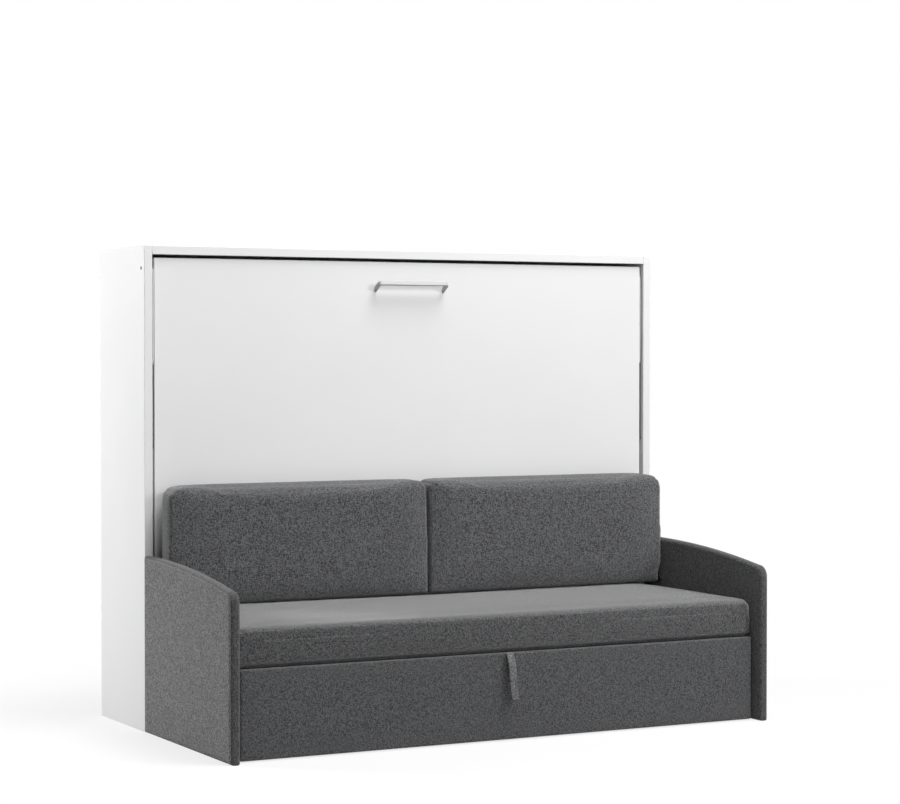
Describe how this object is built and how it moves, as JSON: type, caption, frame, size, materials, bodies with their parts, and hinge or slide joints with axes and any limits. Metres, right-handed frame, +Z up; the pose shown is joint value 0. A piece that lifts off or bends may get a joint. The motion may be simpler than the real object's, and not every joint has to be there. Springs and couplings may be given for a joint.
{
  "type": "wall bed with sofa",
  "caption": "Horizontal wall bed in a low white cabinet, with an upholstered sofa in front: the bed folds down over the seat, the backrest folds flat and a drawer rolls out below.",
  "frame": {"origin": "on the floor, at the middle of the whole footprint of cabinet and sofa", "axes": "+X from the left arm to the right arm as one faces the sofa, +Y from the sofa to the wall, +Z up"},
  "size_m": [2.095, 1.237, 1.7],
  "materials": {
    "white_melamine": "white melamine-faced board, satin",
    "hardboard": "white hardboard, matt",
    "charcoal_weave": "fine dark grey weave over padding, matt",
    "seat_weave": "fine grey weave over foam, matt",
    "strap_weave": "folded grey cloth strap, matt",
    "handle_metal": "brushed, satin",
    "frame_steel": "grey powder coat",
    "plated_steel": "zinc plated",
    "dark_steel": "black paint, satin",
    "white_steel": "white powder coat",
    "black_plastic": "moulded, matt",
    "beech_ply": "bent beech plywood, lacquered",
    "plywood": "plain plywood",
    "black_board": "plywood under black lining cloth",
    "mattress_cloth": "off-white ticking over foam",
    "rubber": "black, matt"
  },
  "bodies": {
    "cabinet_and_sofa": {"arm_left": "charcoal_weave", "arm_right": "charcoal_weave", "back_board": "hardboard", "base_board": "white_melamine", "lower_front_panel": "white_melamine", "pivot_plate_left": "plated_steel", "pivot_plate_right": "plated_steel", "seat_board": "black_board", "seat_cushion": "seat_weave", "seat_front_rail": "black_board", "seat_rear_board": "plywood", "side_cap_left": "black_plastic", "side_cap_right": "black_plastic", "side_panel_left": "white_melamine", "side_panel_right": "white_melamine", "strut_bracket_left": "plated_steel", "strut_bracket_right": "plated_steel", "top_board": "white_melamine", "wall_rail": "white_melamine"},
    "backrest": {"back_cushion_left": "charcoal_weave", "back_cushion_right": "charcoal_weave", "backrest_board": "black_board", "backrest_bracket_left": "dark_steel", "backrest_bracket_right": "dark_steel"},
    "bed": {"door_handle": "handle_metal", "door_panel": "white_melamine", "frame_end_left": "frame_steel", "frame_end_right": "frame_steel", "frame_middle_bar": "frame_steel", "frame_rail_lower": "frame_steel", "frame_rail_upper": "frame_steel", "lever_plate_left": "plated_steel", "lever_plate_right": "plated_steel", "mattress": "mattress_cloth", "slat_mat": "beech_ply"},
    "leg_left": {"leg_bar_left": "white_steel", "leg_extension_left": "dark_steel", "leg_foot_left": "rubber"},
    "leg_right": {"leg_bar_right": "white_steel", "leg_extension_right": "dark_steel", "leg_foot_right": "rubber"},
    "strut_body_left": {"strut_cylinder_left": "dark_steel"},
    "strut_body_right": {"strut_cylinder_right": "dark_steel"},
    "strut_shaft_left": {"strut_rod_left": "plated_steel"},
    "strut_shaft_right": {"strut_rod_right": "plated_steel"},
    "drawer": {"castor_fork_front_left": "dark_steel", "castor_fork_front_right": "dark_steel", "castor_fork_rear_left": "dark_steel", "castor_fork_rear_right": "dark_steel", "drawer_back": "white_melamine", "drawer_bottom": "white_melamine", "drawer_divider": "white_melamine", "drawer_front": "charcoal_weave", "drawer_side_left": "white_melamine", "drawer_side_right": "white_melamine", "pull_strap": "strap_weave"},
    "front_wheels": {"castor_wheel_front_left": "rubber", "castor_wheel_front_right": "rubber"},
    "rear_wheels": {"castor_wheel_rear_left": "rubber", "castor_wheel_rear_right": "rubber"}
  },
  "joints": [
    {"name": "bed_fold", "type": "hinge", "parent": "cabinet_and_sofa", "child": "bed", "pos_m": [0, 0.2335, 0.6448], "axis": [1, 0, 0], "range_deg": [0, 90]},
    {"name": "backrest_fold", "type": "hinge", "parent": "cabinet_and_sofa", "child": "backrest", "pos_m": [0, 0.036, 0.461], "axis": [1, 0, 0], "range_deg": [0, 90]},
    {"name": "leg_left_swing", "type": "hinge", "parent": "bed", "child": "leg_left", "pos_m": [-1.0003, 0.2085, 1.61], "axis": [1, 0, 0], "range_deg": [-90, 0]},
    {"name": "strut_left_swing", "type": "hinge", "parent": "cabinet_and_sofa", "child": "strut_body_left", "pos_m": [-0.99065, 0.4985, 1.1498], "axis": [1, 0, 0], "range_deg": [0, 6.26]},
    {"name": "strut_left_stroke", "type": "slide", "parent": "strut_body_left", "child": "strut_shaft_left", "axis": [0, -0.3957, -0.9184], "range_m": [-0.1415, 0]},
    {"name": "leg_right_swing", "type": "hinge", "parent": "bed", "child": "leg_right", "pos_m": [1.0003, 0.2085, 1.61], "axis": [1, 0, 0], "range_deg": [-90, 0]},
    {"name": "strut_right_swing", "type": "hinge", "parent": "cabinet_and_sofa", "child": "strut_body_right", "pos_m": [0.99065, 0.4985, 1.1498], "axis": [1, 0, 0], "range_deg": [0, 6.26]},
    {"name": "strut_right_stroke", "type": "slide", "parent": "strut_body_right", "child": "strut_shaft_right", "axis": [0, -0.3957, -0.9184], "range_m": [-0.1415, 0]},
    {"name": "drawer_slide", "type": "slide", "parent": "cabinet_and_sofa", "child": "drawer", "axis": [0, -1, 0], "range_m": [0, 0.45]},
    {"name": "front_wheels_roll", "type": "hinge", "parent": "drawer", "child": "front_wheels", "pos_m": [0, -0.4782, 0.0213], "axis": [1, 0, 0], "continuous": true},
    {"name": "rear_wheels_roll", "type": "hinge", "parent": "drawer", "child": "rear_wheels", "pos_m": [0, -0.0435, 0.0213], "axis": [1, 0, 0], "continuous": true}
  ],
  "couplings": [
    {"joint": "backrest_fold", "follows": "bed_fold", "ratio": 1},
    {"joint": "leg_left_swing", "follows": "bed_fold", "ratio": -1},
    {"joint": "strut_left_swing", "follows": "bed_fold", "ratio": 0.069423},
    {"joint": "strut_left_stroke", "follows": "bed_fold", "m_per_rad": -0.090026},
    {"joint": "leg_right_swing", "follows": "bed_fold", "ratio": -1},
    {"joint": "strut_right_swing", "follows": "bed_fold", "ratio": 0.069423},
    {"joint": "strut_right_stroke", "follows": "bed_fold", "m_per_rad": -0.090026},
    {"joint": "front_wheels_roll", "follows": "drawer_slide", "rad_per_m": 47.619},
    {"joint": "rear_wheels_roll", "follows": "drawer_slide", "rad_per_m": 47.619}
  ]
}
